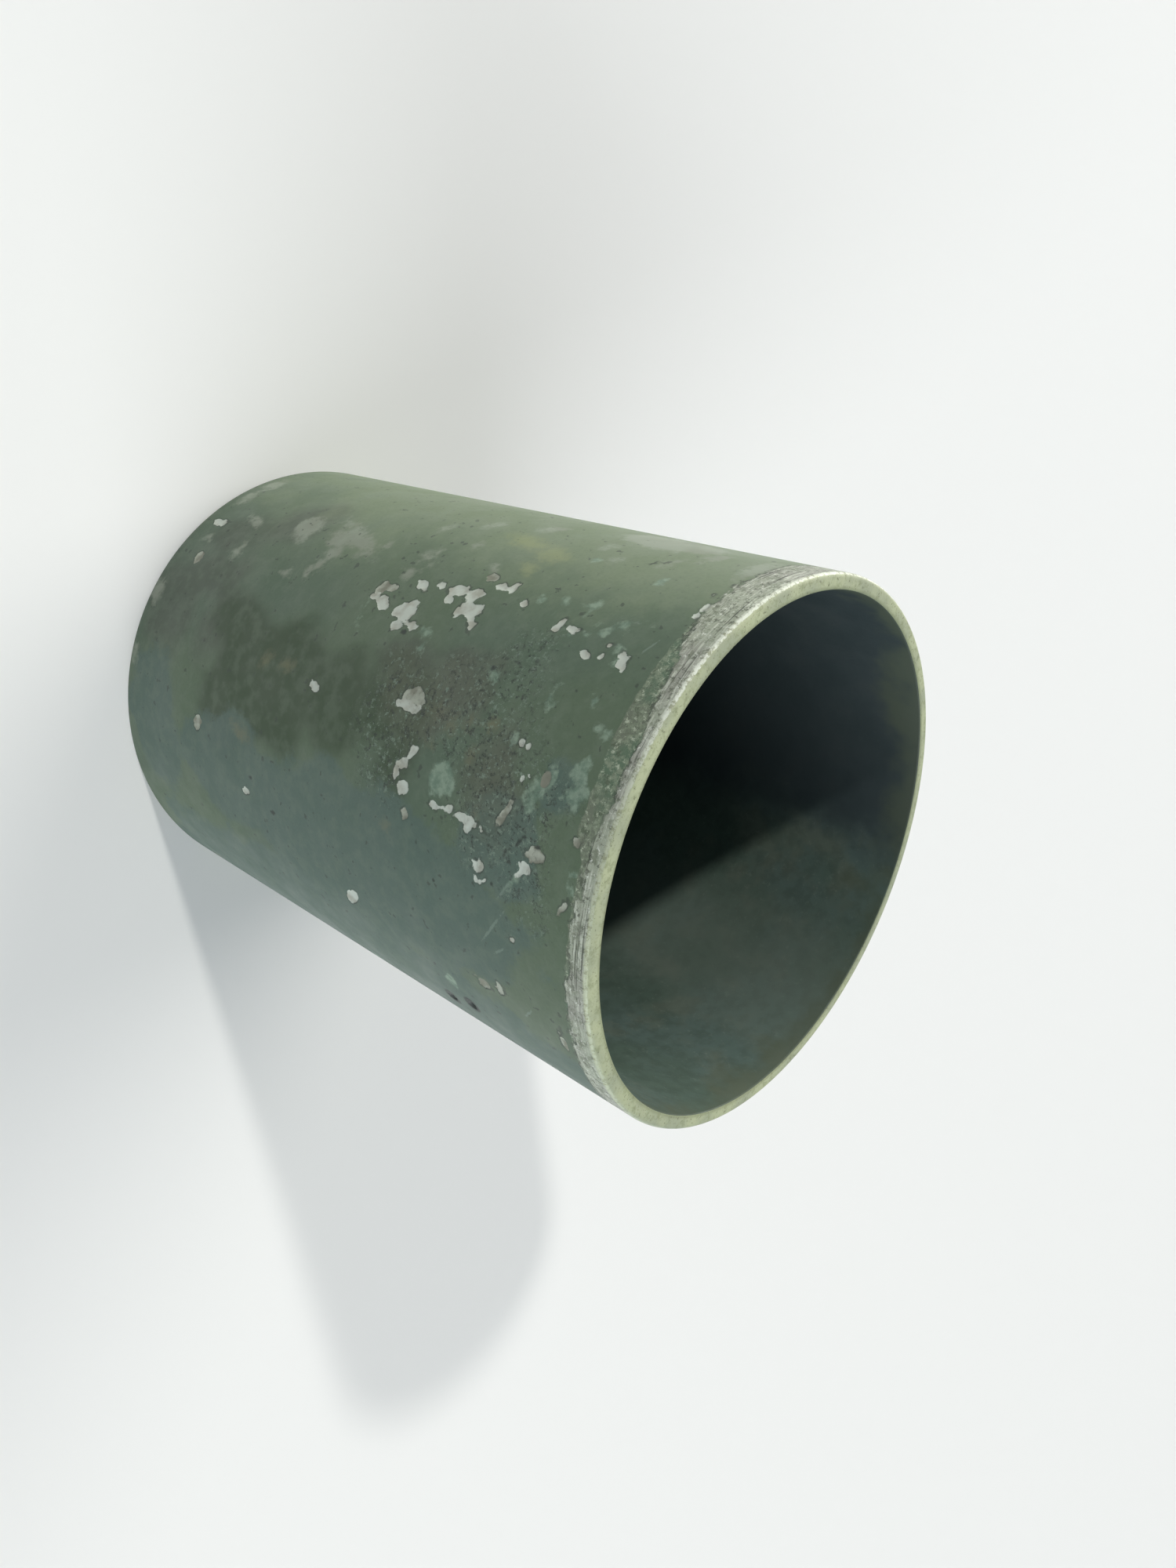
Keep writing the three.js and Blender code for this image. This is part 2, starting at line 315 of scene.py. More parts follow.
DARK_MARKS = [
    (-20.4, 78.5, 0.5, 0.6, 0), (-15.7, 74.6, 0.5, 1.4, 20), (-16.0, 72.3, 0.6, 0.5, 0),
    (-19.1, 75.4, 0.4, 0.7, 60), (23.0, 81.7, 0.5, 0.5, 0), (28.0, 72.3, 0.6, 0.6, 0),
    (37.0, 68.0, 0.6, 0.6, 0), (32.7, 39.3, 0.9, 1.3, 10), (27.2, 34.3, 0.8, 1.0, 0),
    (46.5, 14.0, 0.8, 0.8, 0), (13.4, 84.6, 0.5, 1.5, -60), (-49.0, 78.8, 2.2, 0.6, 20),
    (13.1, 87.2, 0.5, 1.0, -20), (-13.7, 72.0, 0.5, 1.1, 0), (-13.0, 71.4, 0.9, 0.4, -20),
    (12.4, 85.2, 0.4, 0.8, 0), (-14.4, 55.5, 0.8, 1.2, 0), (-9.6, 86.6, 0.4, 0.4, 0),
    (-9.0, 89.3, 0.6, 0.4, 0), (8.8, 93.2, 1.8, 0.6, 0), (-17.0, 93.3, 0.4, 0.8, 0),
    # These two lie over the pits: their black is painted shade inside the pits.
    (58.7, 73.8, 3.0, 2.6, 0), (61.3, 69.3, 3.0, 2.6, 0),
]
OLIVE_STAINS = [
    (4.0, 50.0, 13.0, 22.0, 0), (5.0, 36.0, 19.0, 26.0, 0), (11.0, 27.0, 15.0, 15.0, 0),
    (0.0, 60.0, 10.0, 12.0, 0), (-4.0, 26.0, 10.0, 16.0, 0), (8.0, 63.0, 9.0, 8.0, 0),
]
UMBER_STAINS = [
    (-4.0, 67.0, 14.0, 18.0, 0), (-3.0, 8.0, 20.0, 16.0, 0), (0.0, 20.0, 16.0, 14.0, 0),
    (-12.0, 12.0, 12.0, 16.0, 0), (-36.0, 22.0, 10.0, 10.0, 0), (5.0, 78.0, 14.0, 12.0, 0),
    (-24.0, 10.0, 10.0, 12.0, 0), (-8.0, 60.0, 10.0, 9.0, 0),
]
SLATE_AREAS = [
    (21.0, 52.0, 11.0, 19.0, 0), (34.0, 60.0, 24.0, 60.0, 0), (28.0, 30.0, 18.0, 30.0, 0),
    (24.0, 8.0, 26.0, 16.0, 0), (16.0, 82.0, 14.0, 16.0, 0), (2.0, 88.0, 12.0, 7.0, 0),
    (62.0, 45.0, 24.0, 110.0, 0),
]
# Painted sheen: the side of the tube that the key light falls on is made lighter across this area.
PAINTED_SHEEN_AREAS = [(-66.0, 55.0, 52.0, 150.0, 0)]
SCRATCHES = [
    (22.5, 83.7, 0.3, 3.6, -58), (31.7, 81.8, 0.3, 6.4, -55), (47.5, 86.2, 0.3, 2.4, -51),
    (35.5, 83.0, 0.3, 2.0, -40), (-26.0, 89.0, 0.25, 2.2, -70),
]
PITTED_AREAS = [
    (5.0, 79.0, 18.0, 14.0, 0), (-3.0, 72.0, 12.0, 16.0, 0), (12.0, 86.0, 14.0, 8.0, 0),
    (5.0, 60.0, 14.0, 10.0, 0), (-12.0, 76.0, 9.0, 8.0, 0),
]

# The paint ends in a ragged edge below the mouth, first worn thin and then through to the metal. Each
# edge is given as bearing and height, all the way round.
THIN_EDGE = [(-60, 91.2), (-45, 91.2), (-8, 91.3), (0, 91.7), (8, 91.6), (12, 93.1), (25, 93.0),
             (45, 92.6), (62, 92.4), (120, 91.4), (180, 92.2), (240, 91.0)]
METAL_EDGE = [(-60, 91.2), (-42, 91.1), (-36, 91.4), (-30, 92.0), (-25, 93.2), (-18, 93.9), (-10, 94.5),
              (0, 94.6), (6, 94.1), (12, 94.0), (20, 93.7), (25, 93.4), (45, 93.0), (60, 92.7),
              (120, 92.2), (180, 93.2), (240, 91.8)]

# The far side has the same kinds of damage, scattered with a fixed seed between these bearings and
# heights in mm.
FAR_BEARINGS = (68, 292)
FAR_HEIGHTS = (3, 92)
scatter = random.Random(7)


def far_side(count, smallest, largest):
    """Random groups of one to three overlapping spots."""
    spots = []
    for _ in range(count):
        wide = scatter.uniform(smallest, largest)
        at = scatter.uniform(FAR_BEARINGS[0] + wide, FAR_BEARINGS[1] - wide)
        high = scatter.uniform(*FAR_HEIGHTS)
        for _ in range(scatter.randint(1, 3)):
            spot_at = at + scatter.uniform(-0.9, 0.9) * wide
            spot_high = high + scatter.uniform(-0.6, 0.6) * wide
            spot_wide = wide * scatter.uniform(0.5, 1)
            spot_tall = wide * scatter.uniform(0.4, 1.4)
            spots.append((spot_at, spot_high, spot_wide, spot_tall, scatter.uniform(-60, 60)))
    return spots


WHITE_CHIPS += far_side(34, 0.5, 2.8)
BARE_CHIPS += far_side(14, 0.8, 2.8)
MINT_PATCHES += far_side(30, 0.8, 3.4)
OCHRE_STAINS += far_side(12, 1.2, 3.5)
PALE_SMEARS += far_side(14, 2.0, 6.0)
DARK_MARKS += far_side(24, 0.4, 1.0)
OLIVE_STAINS += far_side(6, 10.0, 22.0)
UMBER_STAINS += far_side(8, 10.0, 20.0)
SLATE_AREAS += far_side(7, 12.0, 26.0)
PITTED_AREAS += far_side(6, 8.0, 18.0)

# Two deep pits, by bearing and height in mm.
PITS = [(58.7, 73.8), (61.3, 69.3)]
PIT_RADIUS = 0.00075
PIT_DEPTH = 0.0009
PIT_BLUNTNESS = 1.6  # over 1, a pit has a flat floor


def bearings(points):
    """Degrees round the tube from the front, positive to the right."""
    return np.degrees(np.arctan2(points[:, 0], -points[:, 1]))


FARTHEST_MM = 6.0  # beyond this, how far outside a spot a point is makes no difference


def spot_depth(points, spots):
    """How far inside the nearest spot each point is, in mm, and negative outside."""
    radius_mm = TUBE_RADIUS * 1000
    bearing = bearings(points)
    height_mm = points[:, 2] * 1000
    depth = np.full(len(points), -FARTHEST_MM)
    for at, high, wide, tall, lean in spots:
        along = np.radians((bearing - at + 180) % 360 - 180) * radius_mm
        up = height_mm - high
        slope = math.radians(lean)
        side = along * math.cos(slope) - up * math.sin(slope)
        top = along * math.sin(slope) + up * math.cos(slope)
        reach = np.hypot(side / (wide / 2), top / (tall / 2))
        depth = np.maximum(depth, (1 - reach) * min(wide, tall) / 2)
    return depth


def ragged(points, spacing_mm, amount_mm, shift):
    """Uneven edges for the spots: noise of amount_mm at each point."""
    scale = 1000 / spacing_mm
    moved = Vector((shift, 0, 0))
    return np.array([noise.noise(Vector(point) * scale + moved) for point in points]) * amount_mm


def above_edge(points, edge):
    """How far above an edge each point is, in mm."""
    at, heights = zip(*edge)
    return points[:, 2] * 1000 - np.interp(bearings(points), at, heights, period=360)


tube = grow("tube_wall", wall_tree, {
    "Radius": TUBE_RADIUS, "Wall": TUBE_WALL, "Length": TUBE_LENGTH,
    "Mouth Rounding": MOUTH_ROUNDING, "Edge Rounding": EDGE_ROUNDING,
    "Row": TUBE_ROW, "Bore Rows": float(BORE_ROWS), "Columns": TUBE_COLUMNS,
    "Finish": bpy.data.materials.new("bare"),
})


def vertex_places(mesh):
    flat = np.empty(len(mesh.vertices) * 3)
    mesh.vertices.foreach_get("co", flat)
    return flat.reshape(-1, 3)


def finer_round_spots(mesh, spots, margin_mm, cuts):
    """Splits the faces in and near the spots, outside only, so that their edges have real steps."""
    work = bmesh.new()
    work.from_mesh(mesh)
    places = np.array([vertex.co for vertex in work.verts])
    outside = np.hypot(places[:, 0], places[:, 1]) > TUBE_RADIUS - TOLERANCE
    near = (spot_depth(places, spots) > -margin_mm) & outside
    faces = [face for face in work.faces if any(near[vertex.index] for vertex in face.verts)
             and all(outside[vertex.index] for vertex in face.verts)]
    edges = {edge for face in faces for edge in face.edges}
    bmesh.ops.subdivide_edges(work, edges=list(edges), cuts=cuts, use_grid_fill=True)
    work.to_mesh(mesh)
    work.free()


finer_round_spots(tube.data, WHITE_CHIPS + BARE_CHIPS + SCRATCHES, 0.5, 2)
finer_round_spots(tube.data, [(at, high, 1.0, 1.0, 0) for at, high in PITS], 1.0, 2)

places = vertex_places(tube.data)
BACK_BLEND = 0.02  # stains are more broken up on the far side, fully from this far back
edge_noise = ragged(places, 1.6, 0.5, 0) + ragged(places, 0.6, 0.3, 50)
broad_noise = ragged(places, 11, 5.0, 100) + ragged(places, 4, 2.4, 150)
blotch_noise = broad_noise * (0.5 + np.clip(places[:, 1] / BACK_BLEND, 0, 1))
wear = {
    "white": spot_depth(places, WHITE_CHIPS) + edge_noise + 0.06,
    "bare": spot_depth(places, BARE_CHIPS) + edge_noise + 0.06,
    "mint": spot_depth(places, MINT_PATCHES) + edge_noise * 1.6,
    "ochre": spot_depth(places, OCHRE_STAINS) + edge_noise,
    "smear": spot_depth(places, PALE_SMEARS) + edge_noise,
    "dark": spot_depth(places, DARK_MARKS),
    "scratch": spot_depth(places, SCRATCHES),
    "olive": spot_depth(places, OLIVE_STAINS) + blotch_noise,
    "umber": spot_depth(places, UMBER_STAINS) + broad_noise,
    "slate": spot_depth(places, SLATE_AREAS) + blotch_noise,
    "painted_sheen": spot_depth(places, PAINTED_SHEEN_AREAS) + broad_noise,
    "pitted": spot_depth(places, PITTED_AREAS) + broad_noise * 0.6,
    "thin": above_edge(places, THIN_EDGE) + edge_noise * 0.35,
    "metal": above_edge(places, METAL_EDGE) + edge_noise * 1.2,
}
for label, depth in wear.items():
    tube.data.attributes.new(label, "FLOAT", "POINT").data.foreach_set("value", depth)

# The paint is about 0.08 mm thick, so its chips are that deep. The pits go further in.
PAINT_THICKNESS = 0.00008
CHIP_SLOPE_MM = 0.2  # how wide the sloping edge of a chip is
SKIN = 0.0001  # points this close to the outside are part of it
radius_here = np.hypot(places[:, 0], places[:, 1])
outside = radius_here > TUBE_RADIUS - SKIN
sunk = np.clip(np.maximum(wear["white"], wear["bare"]) / CHIP_SLOPE_MM, 0, 1) * PAINT_THICKNESS
for at, high in PITS:
    turn = math.radians(at)
    middle = np.array((math.sin(turn) * TUBE_RADIUS, -math.cos(turn) * TUBE_RADIUS, high / 1000))
    reach = np.linalg.norm(places - middle, axis=1) / PIT_RADIUS
    sunk = np.maximum(sunk, np.clip(PIT_BLUNTNESS * (1 - reach ** 2), 0, 1) * PIT_DEPTH)
shrink = np.where(outside, 1 - sunk / radius_here, 1)
places[:, :2] *= shrink[:, None]
tube.data.vertices.foreach_set("co", places.ravel())
tube.data.shade_smooth()


def painted_outside():
    """The painted side with its stains, chips and scratches, and the bare collar under the mouth."""
    material, tree, shader, place = finish("tube_painted_outside")

    def worn(label):
        return add(tree, "ShaderNodeAttribute", attribute_name=label).outputs["Fac"]

    parts = add(tree, "ShaderNodeSeparateXYZ", {0: place}).outputs
    broad = grain(tree, place, 26, 2)
    cloudy = grain(tree, place, 7, 4, shift=11)
    mottled = grain(tree, place, 1.8, 4, shift=23)
    fine = grain(tree, place, 0.45, 2, shift=37)
    crumbly = grain(tree, place, 1.3, 6, shift=71, harsh=0.7)
    speck = grain(tree, place, 0.8, 6, shift=61, harsh=0.8)
    light_speck = grain(tree, place, 0.7, 6, shift=83, harsh=0.8)

    # The top coat: grey-green, greyer or darker where it has weathered, and lighter and blotchy with
    # painted sheen on the side that the key light falls on.
    colour = laid(tree, paint(0.079, 0.124, 0.080), paint(0.092, 0.137, 0.082), broad, 0.38, 0.62)
    painted_sheen = total(tree, worn("painted_sheen"), (cloudy, 9.0))
    colour = laid(tree, colour, paint(0.150, 0.205, 0.125), painted_sheen, 2.0, 18.0, 0.9)
    umber = total(tree, worn("umber"), (cloudy, 8.0))
    colour = laid(tree, colour, paint(0.064, 0.080, 0.058), umber, 2.5, 8.0, 0.7)
    olive = total(tree, worn("olive"), (cloudy, 6.0), (mottled, 3.0))
    colour = laid(tree, colour, paint(0.032, 0.058, 0.026), olive, 2.6, 6.8, 0.95)
    slate = total(tree, worn("slate"), (cloudy, 7.0), (crumbly, 3.4))
    colour = laid(tree, colour, paint(0.075, 0.122, 0.100), slate, 5.6, 7.2, 0.85)
    colour = laid(tree, colour, paint(0.16, 0.21, 0.15), mottled, 0.40, 0.70, 0.26)
    mottled_sheen = total(tree, worn("painted_sheen"), (mottled, 8.0), (cloudy, 16.0))
    colour = laid(tree, colour, paint(0.215, 0.265, 0.165), mottled_sheen, 15.0, 26.0, 0.45)
    colour = laid(tree, colour, paint(0.03, 0.045, 0.035), fine, 0.40, 0.75, 0.12)

    # Rubbed places and rust stains with soft edges.
    rubbed_place = total(tree, worn("smear"), (crumbly, 3.6))
    pale = laid(tree, paint(0.28, 0.32, 0.25), paint(0.25, 0.28, 0.22), cloudy, 0.45, 0.6)
    colour = laid(tree, colour, pale, rubbed_place, 1.3, 2.7, 0.8)
    rust = total(tree, worn("ochre"), (crumbly, 3.4))
    # Painted sheen: on the key-lit side the rust is painted paler and yellower.
    ochre = laid(tree, paint(0.165, 0.165, 0.095), paint(0.25, 0.29, 0.15), worn("painted_sheen"), -5.0, 2.0)
    colour = laid(tree, colour, ochre, rust, 0.8, 3.0, 0.8)

    # Where the surface is pitted it is mottled dark and light, and brown in places.
    brown = fade(tree, total(tree, worn("umber"), (crumbly, 8.0)), 2.0, 9.0)
    rough_area = fade(tree, total(tree, worn("pitted"), (cloudy, 9.0)), 1.6, 6.5)
    pits = product(tree, fade(tree, speck, 0.54, 0.62), rough_area)
    high_spots = product(tree, fade(tree, light_speck, 0.54, 0.62), rough_area, 0.8)
    colour = coat(tree, product(tree, brown, rough_area, 0.45), colour, paint(0.104, 0.114, 0.076))
    colour = coat(tree, product(tree, pits, 0.85), colour, paint(0.020, 0.030, 0.022))
    colour = coat(tree, high_spots, colour, paint(0.20, 0.27, 0.21))
    stray = grain(tree, place, 1.1, 2, shift=97)
    colour = laid(tree, colour, paint(0.03, 0.04, 0.032), stray, 0.67, 0.73, 0.65)
    scratch = total(tree, worn("scratch"), (fine, 0.3))
    colour = laid(tree, colour, paint(0.20, 0.27, 0.22), scratch, 0.08, 0.2, 0.55)

    # The mint undercoat, then bare metal and primer. Round these chips a dark rim is dirt in the edge
    # and painted shade of the paint's step.
    mint = total(tree, worn("mint"), (fine, 0.5), (crumbly, 1.6))
    undercoat = laid(tree, paint(0.140, 0.220, 0.160), paint(0.27, 0.36, 0.27), crumbly, 0.38, 0.62)
    colour = laid(tree, colour, undercoat, mint, 0.85, 1.55, 0.8)
    white = total(tree, worn("white"), (fine, 0.34))
    bare = total(tree, worn("bare"), (fine, 0.34))
    deepest = maths(tree, "MAXIMUM", white, bare)
    rim = product(tree, fade(tree, deepest, -0.13, 0.11), fade(tree, mottled, 0.38, 0.62, 0.0, 0.75))
    colour = coat(tree, rim, colour, paint(0.03, 0.042, 0.03))
    chipped = fade(tree, deepest, 0.13, 0.23)
    grey_metal = laid(tree, paint(0.225, 0.232, 0.18), paint(0.42, 0.45, 0.37), mottled, 0.4, 0.65)
    colour = laid(tree, colour, grey_metal, bare, 0.13, 0.23)
    primer = laid(tree, paint(0.57, 0.62, 0.545), paint(0.40, 0.41, 0.34), mottled, 0.4, 0.7)
    colour = laid(tree, colour, primer, white, 0.13, 0.23)
    # Dark marks, and painted shade inside the two pits.
    dark = total(tree, worn("dark"), (fine, 0.4))
    colour = laid(tree, colour, paint(0.012, 0.020, 0.016), dark, 0.08, 0.35, 0.9)

    # The collar: paint worn thin, then bare scored metal.
    streak = grain(tree, place, 0.5, 5, stretch=(7, 7, 0.6), shift=5, harsh=0.65)
    scored = grain(tree, place, 0.22, 4, stretch=(9, 9, 0.5), shift=43, harsh=0.6)
    long_scores = grain(tree, place, 0.3, 2, stretch=(40, 40, 0.8), shift=77)
    rubbed = laid(tree, paint(0.095, 0.155, 0.095), paint(0.150, 0.175, 0.125), cloudy, 0.42, 0.58)
    rubbed = laid(tree, rubbed, paint(0.24, 0.29, 0.20), speck, 0.46, 0.60)
    rubbed = laid(tree, rubbed, paint(0.070, 0.095, 0.055), crumbly, 0.52, 0.62, 0.8)
    rubbed = laid(tree, rubbed, paint(0.52, 0.58, 0.44), light_speck, 0.54, 0.63, 0.9)
    colour = laid(tree, colour, rubbed, total(tree, worn("thin"), (mottled, 0.6)), 0.25, 0.5, 0.9)
    torn = total(tree, worn("metal"), (crumbly, 2.0), (streak, 1.4))
    edge_line = product(tree, fade(tree, torn, 1.25, 1.6), fade(tree, mottled, 0.4, 0.6, 0.1, 0.8))
    colour = coat(tree, edge_line, colour, paint(0.030, 0.038, 0.026))
    silver = laid(tree, paint(0.33, 0.34, 0.29), paint(0.37, 0.41, 0.32), cloudy, 0.4, 0.6)
    silver = laid(tree, silver, paint(0.62, 0.66, 0.56), streak, 0.46, 0.66, 0.85)
    silver = laid(tree, silver, paint(0.16, 0.17, 0.13), scored, 0.56, 0.70, 0.6)
    silver = laid(tree, silver, paint(0.17, 0.20, 0.135), crumbly, 0.50, 0.62, 0.7)
    silver = laid(tree, silver, paint(0.085, 0.10, 0.068), speck, 0.52, 0.62, 0.85)
    silver = laid(tree, silver, paint(0.80, 0.83, 0.76), light_speck, 0.56, 0.66, 0.85)
    silver = laid(tree, silver, paint(0.055, 0.062, 0.046), long_scores, 0.62, 0.68, 0.85)
    metal = fade(tree, torn, 1.6, 1.85)
    colour = coat(tree, metal, colour, silver)

    # The bevel is bare metal, painted as a bright highlight line that is brighter towards the left,
    # where the key light falls, and it dulls where it meets the sawn end.
    mouth = TUBE_LENGTH * 1000
    high = total(tree, parts["Z"], (fine, 0.5))
    bevel = fade(tree, high, mouth - 0.45, mouth - 0.15)
    edge = laid(tree, paint(0.44, 0.48, 0.35), paint(0.66, 0.70, 0.61), parts["X"], 8.0, -12.0)
    edge = laid(tree, edge, paint(0.25, 0.27, 0.17), speck, 0.48, 0.60, 0.85)
    colour = coat(tree, bevel, colour, edge)
    dull = laid(tree, paint(0.40, 0.44, 0.28), paint(0.24, 0.27, 0.15), crumbly, 0.48, 0.66, 0.7)
    colour = laid(tree, colour, dull, high, mouth + 0.05, mouth + 0.2)
    tree.links.new(colour, shader.inputs["Base Color"])
    exposed = maths(tree, "MAXIMUM", metal, bevel)
    tree.links.new(product(tree, exposed, 0.3), shader.inputs["Metallic"])
    matt = total(tree, fade(tree, cloudy, 0.3, 0.7, 0.42, 0.56), (chipped, 0.2))
    tree.links.new(matt, shader.inputs["Roughness"])

    # Chips stand below the paint, and the collar is scored round and round. These are in mm.
    scores = product(tree, exposed, scored)
    nicks = product(tree, exposed, speck)
    level = total(tree, 0.0, (chipped, -0.05), (metal, -0.05), (scores, 0.09), (nicks, 0.06),
                  (fine, 0.006), (mottled, 0.012), (pits, -0.03))
    relief(tree, shader, level, 1.0)
    return material


def worn_rim():
    """The sawn ends: thin yellow-green primer on metal, with fine dark pits."""
    material, tree, shader, place = finish("tube_worn_rim")
    radius, _ = from_axis(tree, place)
    cloudy = grain(tree, place, 5, 4)
    crumbly = grain(tree, place, 1.2, 6, shift=41, harsh=0.7)
    fine = grain(tree, place, 0.35, 4, shift=13, harsh=0.65)
    inner = total(tree, radius, (crumbly, 0.9))
    colour = laid(tree, paint(0.45, 0.49, 0.31), paint(0.35, 0.385, 0.27), cloudy, 0.35, 0.68)
    colour = laid(tree, colour, paint(0.24, 0.27, 0.15), crumbly, 0.48, 0.66, 0.7)
    # Painted shade: the end face darkens towards the bore's edge.
    colour = laid(tree, colour, paint(0.19, 0.22, 0.12), inner, 34.1, 33.6, 0.55)
    colour = laid(tree, colour, paint(0.12, 0.125, 0.07), fine, 0.58, 0.68, 0.75)
    tree.links.new(colour, shader.inputs["Base Color"])
    shader.inputs["Roughness"].default_value = 0.6
    relief(tree, shader, fine, 0.03)
    return material


def stained_bore():
    """The bore: dull grey-green film on the metal, with old wax stains."""
    material, tree, shader, place = finish("tube_stained_bore")
    parts = add(tree, "ShaderNodeSeparateXYZ", {0: place}).outputs
    broad = grain(tree, place, 14, 3)
    cloudy = grain(tree, place, 6, 4, shift=19)
    mottled = grain(tree, place, 1.6, 4, shift=29)
    flecks = grain(tree, place, 0.9, 5, shift=59, harsh=0.75)
    colour = laid(tree, paint(0.072, 0.108, 0.086), paint(0.084, 0.124, 0.110), broad, 0.36, 0.64)
    colour = laid(tree, colour, paint(0.104, 0.125, 0.094), cloudy, 0.5, 0.70, 0.6)
    colour = laid(tree, colour, paint(0.046, 0.066, 0.052), mottled, 0.40, 0.66, 0.35)
    colour = laid(tree, colour, paint(0.20, 0.25, 0.21), flecks, 0.55, 0.72, 0.25)

    # Painted light: the back of the bore is made paler where the key light falls on it. Painted shade:
    # one side is made darker and bluer where the bore lies in shadow. The rim's inside is brown with
    # grime.
    back = add(tree, "ShaderNodeVectorMath", {0: place, 1: (0.5, 0.866, 0)}, operation="DOT_PRODUCT")
    bloom = total(tree, back.outputs["Value"], (cloudy, 3.0))
    colour = laid(tree, colour, paint(0.125, 0.160, 0.132), bloom, 31.4, 34.6, 0.5)
    # Painted shade: darker and bluer towards negative X, where the bore lies in shadow.
    film = total(tree, parts["X"], (cloudy, 10.0))
    colour = laid(tree, colour, paint(0.030, 0.041, 0.046), film, 4.0, -8.0, 0.9)
    grime = total(tree, parts["Z"], (cloudy, 16.0))
    colour = laid(tree, colour, paint(0.066, 0.084, 0.054), grime, 98, 104, 0.7)
    tree.links.new(colour, shader.inputs["Base Color"])
    tree.links.new(fade(tree, cloudy, 0.3, 0.7, 0.45, 0.65), shader.inputs["Roughness"])
    shader.inputs["Specular IOR Level"].default_value = 0.3
    relief(tree, shader, mottled, 0.03)
    return material


RIM_ZONE = 0.001  # the sawn faces lie within this of either end
RIM_SLOPE = 0.8  # and their normals point this much along the axis
tube.data.materials.clear()
for material in (painted_outside(), worn_rim(), stained_bore()):
    tube.data.materials.append(material)
for face in tube.data.polygons:
    from_end = min(face.center.z, TUBE_LENGTH - face.center.z)
    if from_end < RIM_ZONE and abs(face.normal.z) > RIM_SLOPE:
        face.material_index = 1  # the worn rim
    elif math.hypot(face.center.x, face.center.y) < TUBE_RADIUS - TUBE_WALL / 2:
        face.material_index = 2  # the bore
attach(tube, "mold")
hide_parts("mold_tube")

# ---------------------------------------------------------------------------------------------------
# The base plug is turned from aluminium bar. Its dished top shapes the candle's tip, a groove holds the
# sealing ring, and a small wick hole opens below into a hole tapped M5 for the wick screw.
plug_low, plug_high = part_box("base_plug")
PLUG_RADIUS = plug_high.x
PLUG_BOTTOM = plug_low.z
PLUG_TOP = plug_high.z
DISH_DEPTH = 0.0025
GROOVE_RADIUS = 0.0308
GROOVE_HALF = 0.00155
PLUG_EDGE = 0.0003
ROUND_CORNER = 0.3  # how far in the middle of a round edge is, as a share of its radius
WICK_HOLE_RADIUS = 0.0012
THREAD_RADIUS = 0.0025
THREAD_PITCH = 0.0008
THREAD_TOOTH = 0.0004
THREAD_START = 0.0002  # above the plug's underside
TOOTH_CREST = 1.25  # over 1, the teeth have flat crests
TOOTH_SLOPE = 3.6
TAPPED_DEPTH = 0.006
DRILL_CONE = 0.0005  # height of the cone that the drill left above the tapped hole
TOOL_MARK = 0.00001  # depth of the turning tool's rings
TOOL_STEP = 0.00025
PLUG_COLUMNS = 160


def stretch_of(start, end, step):
    """Points from start up to, but not including, end, about step apart."""
    count = max(1, round(math.dist(start, end) / step))
    along = np.array(end) - np.array(start)
    return [tuple(np.array(start) + along * i / count) for i in range(count)]


def spun(name, outline, columns):
    """A closed solid turned from an anticlockwise outline of (radius, height) points."""
    work = bmesh.new()
    rings = []
    for i in range(columns):
        turn = 2 * math.pi * i / columns
        rings.append([work.verts.new((radius * math.sin(turn), -radius * math.cos(turn), height))
                      for radius, height in outline])
    for i in range(columns):
        near, far = rings[i], rings[(i + 1) % columns]
        for j in range(len(outline)):
            k = (j + 1) % len(outline)
            work.faces.new((near[j], far[j], far[k], near[k]))
    bmesh.ops.remove_doubles(work, verts=work.verts, dist=1e-7)
    bmesh.ops.recalc_face_normals(work, faces=work.faces)
    mesh = bpy.data.meshes.new(name)
    work.to_mesh(mesh)
    work.free()
    piece = bpy.data.objects.new(name, mesh)
    scene.collection.objects.link(piece)
    return piece


def tooth(turn, height):
    """0 at the root and 1 at the crest of a right-hand thread."""
    phase = (height / THREAD_PITCH - turn / (2 * math.pi)) % 1
    return min(1, max(0, TOOTH_CREST - abs(phase - 0.5) * TOOTH_SLOPE))


def cut_thread(piece, crest, depth, lowest):
    """Cuts a thread into the points at radius crest that are higher than lowest."""
    for vertex in piece.data.vertices:
        reach = math.hypot(vertex.co.x, vertex.co.y)
        if abs(reach - crest) < TOLERANCE and vertex.co.z > lowest:
            turn = math.atan2(vertex.co.y, vertex.co.x)
            cut = crest - depth * tooth(turn, vertex.co.z)
            vertex.co.x *= cut / reach
            vertex.co.y *= cut / reach


def faced(start, end, mark):
    """Points of a faced surface, every other one moved by mark, as a turning tool leaves it."""
    points = stretch_of(start, end, TOOL_STEP)
    return [(radius, height + mark * (i % 2)) for i, (radius, height) in enumerate(points)]


def smooth(piece, sharp_from):
    """Smooth shading, but for edges where the faces meet at sharp_from degrees or more."""
    piece.data.shade_smooth()
    piece.data.set_sharp_from_angle(angle=math.radians(sharp_from))


